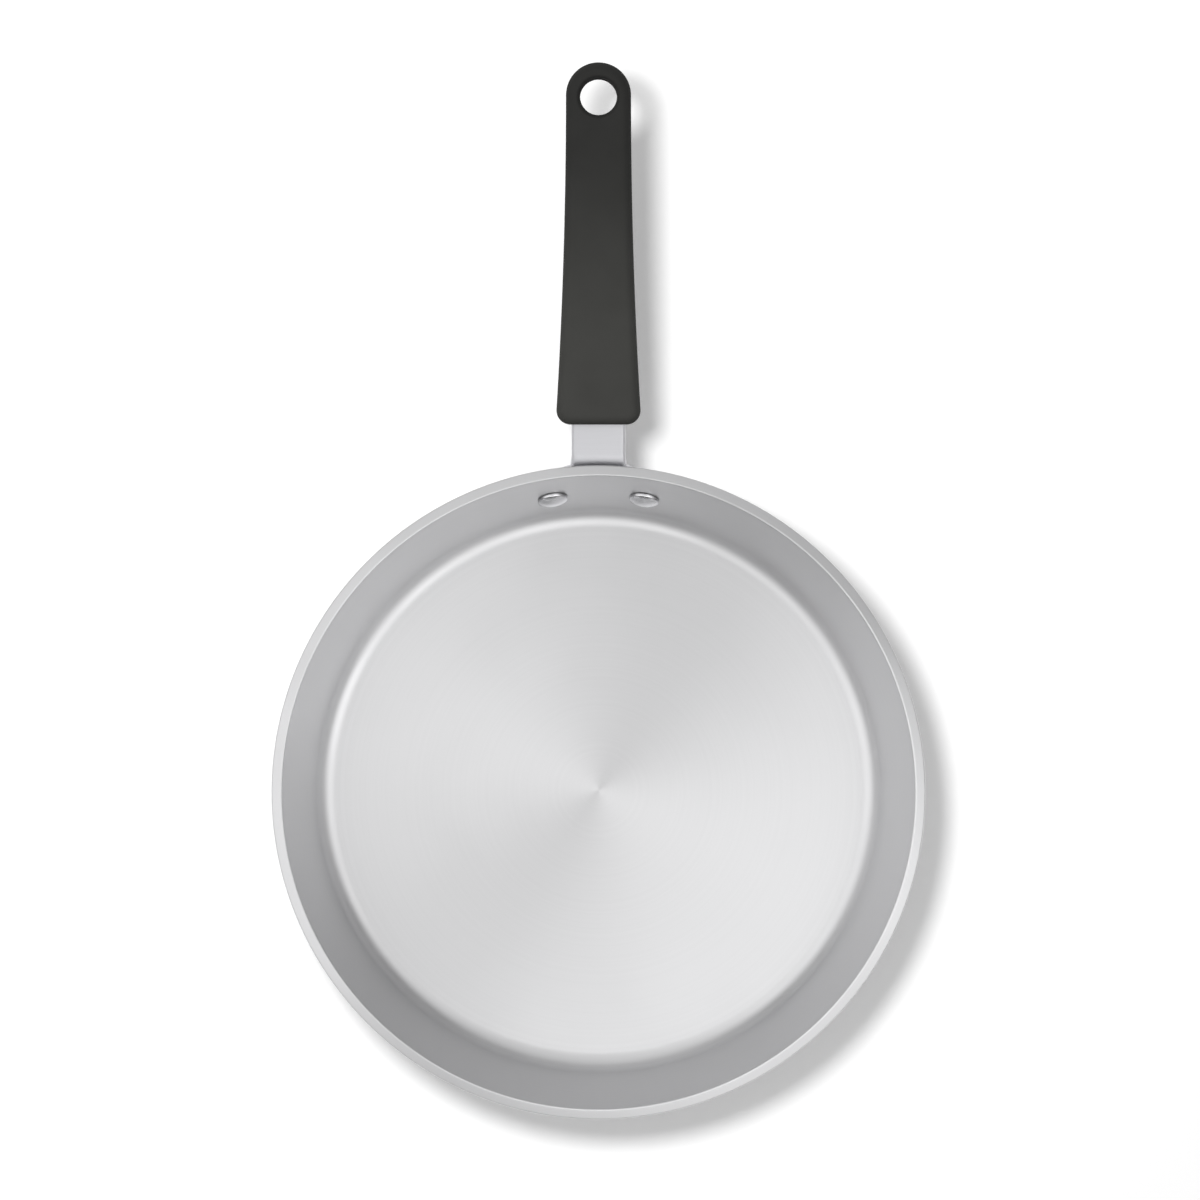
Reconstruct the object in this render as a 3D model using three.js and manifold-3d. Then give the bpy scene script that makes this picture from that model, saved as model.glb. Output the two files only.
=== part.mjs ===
// Frying pan: a thick turned aluminium body, a pressed steel handle strap held to its wall by two
// rivets, and a soft grip sleeve that pulls off along the strap.
// Millimetres, +Z up. The origin is the centre of the base's underside, and the handle runs to +Y.

import * as THREE from 'three';
import { mergeVertices } from 'three/addons/utils/BufferGeometryUtils.js';
import Module from 'manifold-3d';

const wasm = await Module();
wasm.setup();

const { clamp, lerp, smoothstep } = THREE.MathUtils;
const degree = Math.PI / 180;

// Pan body: one sheet, the same thickness in base and wall, cut square at the rim
const rimDiameter = 280;
const panHeight = 45;
const sheetThickness = 5;
const wallLean = 21.4 * degree;
const baseFillet = 9;
const rimArris = 0.8;

// Rivets: a low dome inside the pan and a flatter formed head outside
const rivetSpacing = 39.4;
const rivetBelowRim = 22.2;
const shankDiameter = 6.5;
const headDiameter = 13;
const headEdge = 0.9;
const headHeight = 2.7;
const tailDiameter = 11.5;
const tailEdge = 0.7;
const tailHeight = 2;

// Handle strap: a saddle on the wall, a fishtail, a bend under the rim and a straight run
const strapWidth = 23;
const strapThickness = 3.5;
const strapEdge = 1.5;
const strapBend = 4;
const bendBelowRim = 5.6;
const handleRise = 5 * degree;
const neckLength = 12.7;
const saddleBesideRivets = 10.3;
const saddleBelowRivets = 10;
const saddleAboveRivets = 4;
const saddleCorner = 9;

// Grip sleeve: its walls beside and over the strap thin out from the mouth to the round end
const gripLength = 154.6;
const mouthSideWall = 6.6;
const endSideWall = 2.1;
const mouthCover = 6.4;
const endCover = 4.2;
const mouthCorner = 6.5;
const gripRounding = 4.2;
const gripArch = 3;
const hangHole = 15.7;
const hangHoleLip = 1.9;
const hangHoleLipDepth = 3.8;
const hangHoleInset = 1;
const strapHoleMargin = 0.6;

// Clearances between neighbouring pieces
const seatGap = 0.3;
const rivetClearance = 0.3;
const sleeveClearance = 0.3;

// Facets
const turnSegments = 96;
const rivetSegments = 24;
const holeSegments = 32;

const leanSin = Math.sin(wallLean);
const leanCos = Math.cos(wallLean);
const riseSin = Math.sin(handleRise);
const riseCos = Math.cos(handleRise);

// Solids: a closed geometry to a boolean solid and back

function toSolid(geometry) {
  const bare = new THREE.BufferGeometry();
  bare.setAttribute('position', geometry.getAttribute('position'));
  if (geometry.index) bare.setIndex(geometry.index);
  const merged = mergeVertices(bare, 1e-4);
  const corners = merged.index.array;
  const triangles = [];
  for (let i = 0; i < corners.length; i += 3) {
    const [a, b, c] = corners.slice(i, i + 3);
    if (a !== b && b !== c && c !== a) triangles.push(a, b, c);
  }
  return new wasm.Manifold(new wasm.Mesh({
    numProp: 3,
    vertProperties: new Float32Array(merged.getAttribute('position').array),
    triVerts: new Uint32Array(triangles),
  }));
}

function toGeometry(solid) {
  const mesh = solid.getMesh();
  const geometry = new THREE.BufferGeometry();
  geometry.setAttribute('position', new THREE.BufferAttribute(mesh.vertProperties, 3));
  geometry.setIndex(new THREE.BufferAttribute(mesh.triVerts, 1));
  geometry.computeVertexNormals();
  return geometry;
}

function cutGeometry(geometry, cutters) {
  let solid = toSolid(geometry);
  for (const cutter of cutters) solid = solid.subtract(toSolid(cutter));
  return toGeometry(solid);
}

function piece(name, geometry, material) {
  const mesh = new THREE.Mesh(geometry, material);
  mesh.name = name;
  return mesh;
}

// Pan body. Radius and height are the two coordinates of its section. The sheet's edge is square to
// the wall, so the rim slopes outwards, and both of its arrises are rounded.

const arrisSpare = rimArris * (leanSin + leanCos - 1);
const rimInner = new THREE.Vector2(
  rimDiameter / 2 + arrisSpare - sheetThickness * leanCos,
  panHeight + arrisSpare,
);
const upWall = new THREE.Vector2(leanSin, leanCos);
const outOfWall = new THREE.Vector2(leanCos, -leanSin);

// Both fillets turn about one centre, so the sheet keeps its thickness round the corner
const filletHeight = sheetThickness + baseFillet;
const filletRadius = rimInner.x
  - (rimInner.y - filletHeight + baseFillet * leanSin) * Math.tan(wallLean)
  - baseFillet * leanCos;

function panSection() {
  const arcDivisions = 3;
  const down = -90 * degree;
  const outward = -wallLean;
  const upward = 90 * degree - wallLean;
  const inward = 180 * degree - wallLean;
  const innerArris = rimInner.clone()
    .addScaledVector(upWall, -rimArris)
    .addScaledVector(outOfWall, rimArris);
  const outerArris = rimInner.clone()
    .addScaledVector(upWall, -rimArris)
    .addScaledVector(outOfWall, sheetThickness - rimArris);
  const section = new THREE.Path();
  section.moveTo(0, 0);
  section.lineTo(filletRadius, 0);
  section.absarc(filletRadius, filletHeight, baseFillet + sheetThickness, down, outward);
  section.absarc(outerArris.x, outerArris.y, rimArris, outward, upward);
  section.absarc(innerArris.x, innerArris.y, rimArris, upward, inward);
  section.absarc(filletRadius, filletHeight, baseFillet, outward, down, true);
  section.lineTo(0, sheetThickness);
  return section.getPoints(arcDivisions);
}

function panGeometry() {
  return new THREE.LatheGeometry(panSection(), turnSegments).rotateX(90 * degree);
}

// Rivets. Each stands square to the wall, and its frame's Y axis points out of the pan.

const rivetInside = rimInner.clone().addScaledVector(upWall, -rivetBelowRim);
const rivetTurn = Math.asin(rivetSpacing / 2 / rivetInside.x);
const saddleOuterFace = sheetThickness + seatGap + strapThickness;

// The wall is hollow towards the head, so the head stands off by the wall's rise at its edge
const wallHollow = (headDiameter / 2) ** 2 * leanCos / (2 * rivetInside.x);
const headSeat = -seatGap - wallHollow;
const tailSeat = saddleOuterFace + seatGap;

function rivetSeat(side) {
  const turn = side * rivetTurn;
  const radial = new THREE.Vector3(Math.sin(turn), Math.cos(turn), 0);
  const up = new THREE.Vector3(0, 0, 1);
  const outwards = radial.clone().multiplyScalar(leanCos).addScaledVector(up, -leanSin);
  const along = radial.clone().multiplyScalar(leanSin).addScaledVector(up, leanCos);
  const across = new THREE.Vector3().crossVectors(outwards, along);
  const origin = radial.clone().multiplyScalar(rivetInside.x).addScaledVector(up, rivetInside.y);
  return new THREE.Matrix4().makeBasis(across, outwards, along).setPosition(origin);
}

// A head's crown is an arc from its edge to its summit on the axis, or back
function addCrown(section, edgeRadius, edgeHeight, rise) {
  const radius = (edgeRadius ** 2 + rise ** 2) / (2 * Math.abs(rise));
  const half = Math.asin(edgeRadius / radius);
  const summit = Math.sign(rise) * 90 * degree;
  const centre = edgeHeight + rise - Math.sign(rise) * radius;
  if (rise > 0) section.absarc(0, centre, radius, summit - half, summit);
  else section.absarc(0, centre, radius, summit, summit + half);
}

function rivetGeometry() {
  const arcDivisions = 3;
  const headRadius = headDiameter / 2;
  const tailRadius = tailDiameter / 2;
  const shankRadius = shankDiameter / 2;
  const section = new THREE.Path();
  section.moveTo(0, headSeat - headHeight);
  addCrown(section, headRadius, headSeat - headEdge, headEdge - headHeight);
  section.lineTo(headRadius, headSeat);
  section.lineTo(shankRadius, headSeat);
  section.lineTo(shankRadius, tailSeat);
  section.lineTo(tailRadius, tailSeat);
  section.lineTo(tailRadius, tailSeat + tailEdge);
  addCrown(section, tailRadius, tailSeat + tailEdge, tailHeight - tailEdge);
  return new THREE.LatheGeometry(section.getPoints(arcDivisions), rivetSegments);
}

function rivetHole(side) {
  const radius = shankDiameter / 2 + rivetClearance;
  const depth = 2 * (saddleOuterFace + sheetThickness);
  return new THREE.CylinderGeometry(radius, radius, depth, rivetSegments).applyMatrix4(rivetSeat(side));
}

// Slabs. The strap and the sleeve are long slabs: a plan with round corners at its start, sides that
// follow a half width, a round end, and edges rounded all the way round.

function slabGeometry({ halfWidth, startCorner, endCentre, rounding, breaks, place }) {
  const endRadius = halfWidth(endCentre);
  const cornerInset = (along) => {
    const before = Math.max(0, startCorner - along);
    return startCorner - Math.sqrt(startCorner ** 2 - before ** 2);
  };
  const planWidth = (along) => {
    if (along > endCentre) return Math.sqrt(Math.max(0, endRadius ** 2 - (along - endCentre) ** 2));
    return halfWidth(along) - cornerInset(along);
  };

  // Distance of a point inside the plan from the plan's edge
  const edgeDistance = (along, across) => {
    if (along > endCentre) return endRadius - Math.hypot(across, along - endCentre);
    const fromSide = halfWidth(along) - Math.abs(across);
    if (along < startCorner && fromSide < startCorner) {
      return startCorner - Math.hypot(startCorner - along, startCorner - fromSide);
    }
    return Math.min(along, fromSide);
  };
  const edgeDrop = (along, across) => {
    const before = Math.max(0, rounding - Math.max(0, edgeDistance(along, across)));
    return rounding - Math.sqrt(rounding ** 2 - before ** 2);
  };

  // Stations along the slab, close together on the round corners and the round end
  const cornerSteps = 6;
  const endSteps = 10;
  const lastTurn = 86 * degree;
  const stations = [];
  for (let i = 0; i < cornerSteps; i += 1) {
    stations.push(startCorner * (1 - Math.cos(90 * degree * i / cornerSteps)));
  }
  let from = startCorner;
  for (const [to, steps] of [...breaks, [endCentre, 4]]) {
    for (let i = 0; i < steps; i += 1) stations.push(lerp(from, to, i / steps));
    from = to;
  }
  for (let i = 0; i <= endSteps; i += 1) {
    stations.push(endCentre + endRadius * Math.sin(lastTurn * i / endSteps));
  }

  // Places across a station, close together on the rounded edges
  const edgeSteps = 4;
  const flatSteps = 8;
  const crossing = (width) => {
    const edge = Math.min(rounding, width / 2);
    const left = [];
    for (let i = 0; i < edgeSteps; i += 1) {
      left.push(edge * (1 - Math.cos(90 * degree * i / edgeSteps)) - width);
    }
    const flat = [];
    for (let i = 0; i <= flatSteps; i += 1) flat.push((width - edge) * (2 * i / flatSteps - 1));
    return [...left, ...flat, ...left.map((across) => -across).reverse()];
  };

  const row = 2 * edgeSteps + flatSteps + 1;
  const ring = 2 * row;
  const positions = [];
  for (const along of stations) {
    const places = crossing(planWidth(along));
    for (const face of [1, -1]) {
      for (const across of places) positions.push(...place(along, across, face, edgeDrop(along, across)));
    }
  }

  const index = [];
  const quad = (a, b, c, d) => index.push(a, b, c, a, c, d);
  for (let i = 0; i + 1 < stations.length; i += 1) {
    const near = i * ring;
    const far = near + ring;
    for (let j = 0; j + 1 < row; j += 1) {
      quad(near + j, near + j + 1, far + j + 1, far + j);
      quad(near + row + j + 1, near + row + j, far + row + j, far + row + j + 1);
    }
    quad(near + row, near, far, far + row);
    quad(near + row - 1, near + ring - 1, far + ring - 1, far + row - 1);
  }
  const last = (stations.length - 1) * ring;
  for (let j = 0; j + 1 < row; j += 1) {
    quad(j + 1, j, row + j, row + j + 1);
    quad(last + j, last + j + 1, last + row + j + 1, last + row + j);
  }
  const geometry = new THREE.BufferGeometry();
  geometry.setAttribute('position', new THREE.Float32BufferAttribute(positions, 3));
  geometry.setIndex(index);
  return geometry;
}

// Handle strap. Its middle surface runs up the wall, round the bend and straight out, with lengths
// counted from the saddle's lower edge.

const middleRadius = strapBend + strapThickness / 2;
const rivetToBend = rivetBelowRim - bendBelowRim;
const flareStart = saddleBelowRivets + saddleAboveRivets;
const bendStart = saddleBelowRivets + rivetToBend;
const straightStart = bendStart + middleRadius * (90 * degree - wallLean - handleRise);
const wallPoint = rivetInside.clone()
  .addScaledVector(outOfWall, sheetThickness + seatGap + strapThickness / 2);
const bendCentre = wallPoint.clone()
  .addScaledVector(upWall, rivetToBend)
  .addScaledVector(outOfWall, middleRadius);
const neckStart = new THREE.Vector2(
  bendCentre.x - middleRadius * riseSin,
  bendCentre.y + middleRadius * riseCos,
);

// The strap's round end and the sleeve's share a centre, and the hang hole lies nearer to the pan
const mouthHalfWidth = strapWidth / 2 + sleeveClearance + mouthSideWall;
const endHalfWidth = strapWidth / 2 + sleeveClearance + endSideWall;
const endFromMouth = gripLength - endHalfWidth;
const holeFromMouth = endFromMouth - hangHoleInset;

// A place on the middle surface, its downward normal, and how much of the wall's roundness it keeps
function strapStation(along) {
  if (along <= bendStart) {
    const point = wallPoint.clone().addScaledVector(upWall, along - saddleBelowRivets);
    return { point, normal: outOfWall, roundness: 1 };
  }
  if (along < straightStart) {
    const turned = wallLean + (along - bendStart) / middleRadius;
    const normal = new THREE.Vector2(Math.cos(turned), -Math.sin(turned));
    const point = bendCentre.clone().addScaledVector(normal, -middleRadius);
    return { point, normal, roundness: 1 - smoothstep(along, bendStart, straightStart) };
  }
  const run = new THREE.Vector2(riseCos, riseSin);
  const point = neckStart.clone().addScaledVector(run, along - straightStart);
  return { point, normal: new THREE.Vector2(riseSin, -riseCos), roundness: 0 };
}

// Across the saddle the strap follows the wall's circle, and on the straight run it is flat
function strapPlace(along, across, face, drop) {
  const { point, normal, roundness } = strapStation(along);
  const through = face * (strapThickness / 2 - drop);
  const radius = point.x - normal.x * through;
  const turn = across / wallPoint.x;
  return [
    lerp(across, radius * Math.sin(turn), roundness),
    radius - roundness * radius * (1 - Math.cos(turn)),
    point.y - normal.y * through,
  ];
}

function strapGeometry() {
  const saddleHalfWidth = rivetSpacing / 2 + saddleBesideRivets;
  return slabGeometry({
    halfWidth: (along) => lerp(saddleHalfWidth, strapWidth / 2, smoothstep(along, flareStart, bendStart)),
    startCorner: saddleCorner,
    endCentre: straightStart + neckLength + endFromMouth,
    rounding: Math.min(strapEdge, strapThickness / 2),
    breaks: [[flareStart, 2], [bendStart, 8], [straightStart, 8]],
    place: strapPlace,
  });
}

// Handle frame: at the strap's middle in the sleeve's mouth, Y along the handle, Z out of its top
const handleFrame = new THREE.Group();
handleFrame.position.set(0, neckStart.x + neckLength * riseCos, neckStart.y + neckLength * riseSin);
handleFrame.rotation.x = handleRise;
handleFrame.updateMatrix();

// Grip sleeve, in the handle frame

function gripHalfThickness(along) {
  const cover = lerp(mouthCover, endCover, along / gripLength);
  return strapThickness / 2 + sleeveClearance + cover;
}

// The sleeve's middle rises in a shallow arch over the straight strap
function archRise(along) {
  const share = clamp(along / gripLength, 0, 1);
  return 4 * gripArch * share * (1 - share);
}

function gripGeometry() {
  const drawnIn = (along) => (1 - clamp(along / endFromMouth, 0, 1)) ** 2;
  return slabGeometry({
    halfWidth: (along) => lerp(endHalfWidth, mouthHalfWidth, drawnIn(along)),
    startCorner: mouthCorner,
    endCentre: endFromMouth,
    rounding: gripRounding,
    breaks: [[endFromMouth / 2, 6]],
    place: (along, across, face, drop) => [
      across,
      along,
      archRise(along) + face * (gripHalfThickness(along) - drop),
    ],
  });
}

// The pocket is the strap with its clearance all round, open at the mouth
function pocketGeometry() {
  const half = strapWidth / 2 + sleeveClearance;
  const depth = strapThickness + 2 * sleeveClearance;
  const outline = new THREE.Shape();
  outline.moveTo(-half, -mouthCorner);
  outline.lineTo(half, -mouthCorner);
  outline.lineTo(half, endFromMouth);
  outline.absarc(0, endFromMouth, half, 0, 180 * degree);
  const settings = { depth, curveSegments: 12, bevelEnabled: false };
  return new THREE.ExtrudeGeometry(outline, settings).translate(0, 0, -depth / 2);
}

// The hang hole stands square to the arched sleeve, with a steep rounded lip at both faces
function hangHoleGeometry() {
  const face = gripHalfThickness(holeFromMouth);
  const bore = hangHole / 2;
  const wide = bore + hangHoleLip;
  const beyond = face + 2 * hangHoleLip;
  const depth = Math.min(hangHoleLipDepth, face);
  const archSlope = 4 * gripArch / gripLength * (1 - 2 * holeFromMouth / gripLength);
  const section = new THREE.Path();
  section.moveTo(0, -beyond);
  section.lineTo(wide, -beyond);
  section.lineTo(wide, -face);
  section.absellipse(wide, depth - face, hangHoleLip, depth, -90 * degree, -180 * degree, true);
  section.absellipse(wide, face - depth, hangHoleLip, depth, 180 * degree, 90 * degree, true);
  section.lineTo(wide, beyond);
  section.lineTo(0, beyond);
  return new THREE.LatheGeometry(section.getPoints(2), holeSegments)
    .rotateX(90 * degree + Math.atan(archSlope))
    .translate(0, holeFromMouth, archRise(holeFromMouth));
}

// The strap's own hole is wider, so that no metal shows in the sleeve's
function strapHoleGeometry() {
  const radius = hangHole / 2 + strapHoleMargin;
  return new THREE.CylinderGeometry(radius, radius, 2 * strapThickness, holeSegments)
    .rotateX(90 * degree)
    .translate(0, holeFromMouth, 0)
    .applyMatrix4(handleFrame.matrix);
}

const bareAluminium = new THREE.MeshStandardMaterial({ color: '#d9dadc', roughness: 0.32, metalness: 1 });
const rivetAluminium = new THREE.MeshStandardMaterial({ color: '#dcdcdd', roughness: 0.2, metalness: 1 });
const satinSteel = new THREE.MeshStandardMaterial({ color: '#cfcfd2', roughness: 0.3, metalness: 1 });
const blackSilicone = new THREE.MeshStandardMaterial({ color: '#3b3b39', roughness: 0.75, metalness: 0 });

const rivetSides = { rivet_left: -1, rivet_right: 1 };
const rivetHoles = Object.values(rivetSides).map(rivetHole);

const pan = new THREE.Group();
pan.add(piece('pan_body', cutGeometry(panGeometry(), rivetHoles), bareAluminium));
pan.add(piece('handle_strap', cutGeometry(strapGeometry(), [...rivetHoles, strapHoleGeometry()]), satinSteel));

for (const [name, side] of Object.entries(rivetSides)) {
  const rivet = piece(name, rivetGeometry(), rivetAluminium);
  rivet.applyMatrix4(rivetSeat(side));
  pan.add(rivet);
}

const sleeveCuts = [pocketGeometry(), hangHoleGeometry()];
handleFrame.add(piece('grip_sleeve', cutGeometry(gripGeometry(), sleeveCuts), blackSilicone));
pan.add(handleFrame);

export default pan;
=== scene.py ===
# %% [markdown]
# # A frying pan from straight above
#
# The photograph looks straight down, from far away, on a bare aluminium frying pan. It has five
# pieces: the turned body, a pressed steel strap, two rivets and a soft grip sleeve. The CAD model
# already fixes where they are and how they move, but its faces are flat facets. So this script gives
# every piece a smooth skin of the same size, worked out with numpy, and then a finish.

import math
from types import SimpleNamespace

import bmesh
import bpy
import numpy as np
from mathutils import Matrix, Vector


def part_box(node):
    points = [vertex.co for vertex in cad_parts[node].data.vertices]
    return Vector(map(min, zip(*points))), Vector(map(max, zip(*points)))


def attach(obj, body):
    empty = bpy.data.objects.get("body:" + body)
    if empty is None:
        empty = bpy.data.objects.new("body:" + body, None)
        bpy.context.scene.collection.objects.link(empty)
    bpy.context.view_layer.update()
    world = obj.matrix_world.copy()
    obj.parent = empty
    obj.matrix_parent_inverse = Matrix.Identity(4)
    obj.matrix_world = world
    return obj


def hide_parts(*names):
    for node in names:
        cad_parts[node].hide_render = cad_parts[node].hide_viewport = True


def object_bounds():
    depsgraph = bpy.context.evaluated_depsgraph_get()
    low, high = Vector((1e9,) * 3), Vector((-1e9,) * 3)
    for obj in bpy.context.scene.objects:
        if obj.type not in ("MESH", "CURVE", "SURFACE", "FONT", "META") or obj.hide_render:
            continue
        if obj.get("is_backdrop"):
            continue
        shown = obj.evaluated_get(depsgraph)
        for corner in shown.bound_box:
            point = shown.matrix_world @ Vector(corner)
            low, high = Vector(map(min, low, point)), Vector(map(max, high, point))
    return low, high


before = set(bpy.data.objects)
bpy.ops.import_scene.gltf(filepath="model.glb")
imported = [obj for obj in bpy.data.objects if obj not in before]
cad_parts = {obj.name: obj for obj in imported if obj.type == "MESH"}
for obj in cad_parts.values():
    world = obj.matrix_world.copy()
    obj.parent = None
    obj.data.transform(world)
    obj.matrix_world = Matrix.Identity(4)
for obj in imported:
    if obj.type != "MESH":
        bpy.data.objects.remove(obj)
bounds_at_start = [list(corner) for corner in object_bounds()]

# %% [markdown]
# ## From grids of points to one closed piece
#
# Every surface here is a grid: one formula gives a point for each pair of two numbers. A piece is a few
# such grids, called patches, that meet along their edges. They could be joined by counting indices
# along each seam, but it is easier to let neighbouring patches repeat the points of their common edge
# and then merge what lies closer than 2 micrometres. That closes seams and poles alike, and Blender
# can then turn all faces outwards.

# %% Sew patches into a piece
mm = 0.001
merge_distance = 0.002 * mm
sliver_length = 0.0005 * mm
sharp_angle = math.radians(35)


def sew(name, patches, body, node):
    """Each cell of a patch (rows x columns x 3) becomes a face, and points that coincide become one."""
    points = np.concatenate([patch.reshape(-1, 3) for patch in patches])
    firsts = np.cumsum([0] + [patch.shape[0] * patch.shape[1] for patch in patches])
    cells = []
    for first, patch in zip(firsts, patches):
        number = first + np.arange(patch.shape[0] * patch.shape[1]).reshape(patch.shape[:2])
        corners = [number[:-1, :-1], number[:-1, 1:], number[1:, 1:], number[1:, :-1]]
        cells.append(np.stack(corners, axis=-1).reshape(-1, 4))
    mesh = bpy.data.meshes.new(name)
    mesh.from_pydata(points.tolist(), [], np.concatenate(cells).tolist())

    work = bmesh.new()
    work.from_mesh(mesh)
    bmesh.ops.remove_doubles(work, verts=work.verts, dist=merge_distance)
    bmesh.ops.dissolve_degenerate(work, dist=sliver_length, edges=work.edges)
    bmesh.ops.recalc_face_normals(work, faces=work.faces)
    open_edges = sum(not edge.is_manifold for edge in work.edges)
    work.to_mesh(mesh)
    work.free()
    mesh.shade_smooth()
    mesh.set_sharp_from_angle(angle=sharp_angle)

    piece = bpy.data.objects.new(name, mesh)
    bpy.context.scene.collection.objects.link(piece)
    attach(piece, body)
    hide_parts(node)
    cad_low, cad_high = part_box(node)
    low, high = points.min(axis=0), points.max(axis=0)
    off = max(np.abs(low - cad_low).max(), np.abs(high - cad_high).max()) / mm
    print(f"{name}: {len(mesh.polygons)} faces, {open_edges} open edges, {off:.2f} mm off the CAD box")
    return piece


# %% [markdown]
# ## The pan body
#
# The real body is one thick round of aluminium sheet, pressed to a flat base with a straight leaning
# wall, turned smooth on a lathe, and cut square to the sheet at the rim. A turned thing is a profile
# carried round an axis, so the profile is all that has to be drawn: underside, outer corner, wall,
# rim, wall and inner corner, with the same 5 mm of metal everywhere. Blender's Screw modifier could turn
# it, but a formula gives the same points with no modifier to apply. A point close to each end of a
# straight line keeps the shading of the arcs off the flats beside them.

# %% Profiles
rim_radius = 140 * mm
pan_height = 45 * mm
sheet = 5 * mm
wall_lean = math.radians(21.4)
base_fillet = 9 * mm
rim_arris = 0.8 * mm
flat_margin = 0.15 * mm

up_wall = np.array([math.sin(wall_lean), math.cos(wall_lean)])
out_of_wall = np.array([math.cos(wall_lean), -math.sin(wall_lean)])


def arc(centre, radius, start, end, steps):
    """The centre plus the radius times cosine and sine of an angle that runs from start to end."""
    angle = np.radians(np.linspace(start, end, steps + 1))
    return np.asarray(centre) + radius * np.column_stack([np.cos(angle), np.sin(angle)])


def line(start, end, steps):
    """Even steps between start and end. The two ends belong to the neighbouring arcs, so the first and
    the last point lie one flat margin inside them."""
    start, end = np.asarray(start), np.asarray(end)
    near = flat_margin / np.linalg.norm(end - start)
    share = np.concatenate([[near], np.linspace(0, 1, steps + 1)[1:-1], [1 - near]])
    return start + share[:, None] * (end - start)


def turned(profile, steps):
    """Each (radius, height) becomes radius times cosine, radius times sine, height, round the Z axis."""
    angle = np.linspace(0, 2 * math.pi, steps + 1)
    radius, height = profile[:, :1], profile[:, 1:]
    return np.stack([radius * np.cos(angle), radius * np.sin(angle), height + 0 * angle], axis=-1)


print(f"the wall leans {math.degrees(wall_lean):.1f} degrees, the sheet is {sheet / mm:.1f} mm thick")

# %% Turn the pan body
arris_spare = rim_arris * (math.sin(wall_lean) + math.cos(wall_lean) - 1)
rim_inner = np.array([rim_radius + arris_spare - sheet * math.cos(wall_lean), pan_height + arris_spare])
fillet_height = sheet + base_fillet
fillet_radius = (rim_inner[0] - base_fillet * math.cos(wall_lean)
                 - (rim_inner[1] - fillet_height + base_fillet * math.sin(wall_lean)) * math.tan(wall_lean))
corner = np.array([fillet_radius, fillet_height])
inner_arris = rim_inner - rim_arris * up_wall + rim_arris * out_of_wall
outer_arris = rim_inner - rim_arris * up_wall + (sheet - rim_arris) * out_of_wall
lean = math.degrees(wall_lean)

outer_corner = arc(corner, base_fillet + sheet, -90, -lean, 20)
outer_edge = arc(outer_arris, rim_arris, -lean, 90 - lean, 8)
inner_edge = arc(inner_arris, rim_arris, 90 - lean, 180 - lean, 8)
inner_corner = arc(corner, base_fillet, -lean, -90, 20)
pan_profile = np.concatenate([
    [[0, 0]], line((0, 0), outer_corner[0], 24),
    outer_corner, line(outer_corner[-1], outer_edge[0], 10),
    outer_edge, line(outer_edge[-1], inner_edge[0], 4),
    inner_edge, line(inner_edge[-1], inner_corner[0], 12),
    inner_corner, line(inner_corner[-1], (0, sheet), 24), [[0, sheet]],
])
pan_skin = sew("turned_pan", [turned(pan_profile, 288)], "pan", "pan_body")

# %% [markdown]
# ## Two rivets
#
# Each rivet is a short aluminium pin. Its low domed head sits inside the pan, its shank goes through
# wall and strap, and its other end was pressed into a flatter head outside. It is turned as well, but
# round its own axis, which stands square to the leaning wall. So the profile is carried round a local
# axis, and three directions (across, out of the wall, up the wall) take it to its seat.

# %% Turn and seat the rivets
rivet_spacing = 39.4 * mm
rivet_below_rim = 22.2 * mm
shank_radius = 3.25 * mm
head_radius, head_edge, head_height, head_soft = 6.5 * mm, 0.9 * mm, 2.7 * mm, 0.9 * mm
tail_radius, tail_edge, tail_height, tail_soft = 5.75 * mm, 0.7 * mm, 2 * mm, 0.45 * mm
dome_steps, shoulder_steps = 14, 6
strap_thickness = 3.5 * mm
gap = 0.3 * mm

rivet_inside = rim_inner - rivet_below_rim * up_wall
rivet_turn = math.asin(rivet_spacing / 2 / rivet_inside[0])
head_seat = -gap - head_radius ** 2 * math.cos(wall_lean) / (2 * rivet_inside[0])
tail_seat = sheet + gap + strap_thickness + gap


def head(radius, edge, height, soft):
    """Half of a low domed head, from its summit outwards: an arc down to the edge, a smaller arc with
    the soft radius round the corner, and then the edge's straight side."""
    rise = height - edge
    crown = (radius ** 2 + rise ** 2) / (2 * rise)
    depth = crown - height
    reach = math.asin((radius - soft) / (crown - soft))
    middle = (radius - soft, (crown - soft) * math.cos(reach) - depth)
    dome = arc((0, -depth), crown, 90, 90 - math.degrees(reach), dome_steps)
    shoulder = arc(middle, soft, 90 - math.degrees(reach), 0, shoulder_steps)
    return np.concatenate([dome, shoulder[1:], line((radius, middle[1]), (radius, 0), 2), [[radius, 0]]])


inside_head = head(head_radius, head_edge, head_height, head_soft) * [1, -1] + [0, head_seat]
outside_head = head(tail_radius, tail_edge, tail_height, tail_soft) + [0, tail_seat]
shank = np.array([[shank_radius, head_seat], [shank_radius, tail_seat]])
rivet_profile = np.concatenate([inside_head, shank, outside_head[::-1]])


def seated_rivet(side):
    """The turned profile, carried from its own axis to the place and the slant of its seat."""
    turn = side * rivet_turn
    radial = np.array([math.sin(turn), math.cos(turn), 0])
    up = np.array([0, 0, 1])
    outwards = radial * math.cos(wall_lean) - up * math.sin(wall_lean)
    along = radial * math.sin(wall_lean) + up * math.cos(wall_lean)
    seat = radial * rivet_inside[0] + up * rivet_inside[1]
    return seat + turned(rivet_profile, 64) @ np.array([np.cross(outwards, along), along, outwards])


left_rivet = sew("formed_rivet_left", [seated_rivet(-1)], "pan", "rivet_left")
right_rivet = sew("formed_rivet_right", [seated_rivet(1)], "pan", "rivet_right")

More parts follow.
